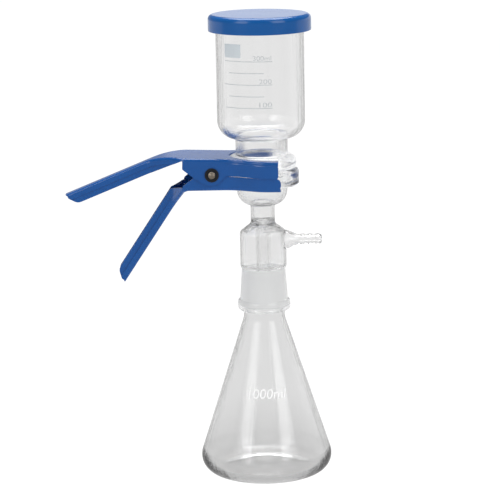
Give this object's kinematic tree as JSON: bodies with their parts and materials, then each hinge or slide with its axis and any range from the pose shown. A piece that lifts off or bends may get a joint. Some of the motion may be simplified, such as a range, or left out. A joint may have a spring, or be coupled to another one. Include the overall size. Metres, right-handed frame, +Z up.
{
  "type": "vacuum filtration unit",
  "caption": "Conical receiving flask with a ground joint, glass filter base with a hose barb and a sintered disc, graduated funnel with a lid, held together by a spring clamp.",
  "frame": {"origin": "centre of the flask's resting face, on the common axis of the glass", "axes": "+Z up along the axis of the glass; the hose barb points along +X and the clamp's handles along -X"},
  "size_m": [0.2538, 0.128, 0.4506],
  "materials": {
    "clear_glass": "gloss",
    "frit_glass": "matte",
    "blue_plastic": "satin",
    "blue_metal": "gloss",
    "steel": "satin",
    "black_metal": "satin"
  },
  "bodies": {
    "glassware": {"flask": "clear_glass", "filter_base": "clear_glass", "frit_disc": "frit_glass", "funnel": "clear_glass", "lid": "blue_plastic", "clamp_lower_jaw": "blue_metal", "clamp_spring": "steel", "pivot_pin": "steel", "pivot_washer_front": "black_metal", "pivot_washer_rear": "black_metal"},
    "upper_jaw": {"clamp_upper_jaw": "blue_metal"}
  },
  "joints": [
    {"name": "clamp_pivot", "type": "hinge", "parent": "glassware", "child": "upper_jaw", "pos_m": [-0.048, 0, 0.3005], "axis": [0, -1, 0], "range_deg": [0, 16], "stiffness_Nm_per_rad": 1.2, "springref_deg": -34.38, "deforming": ["clamp_spring"]}
  ]
}
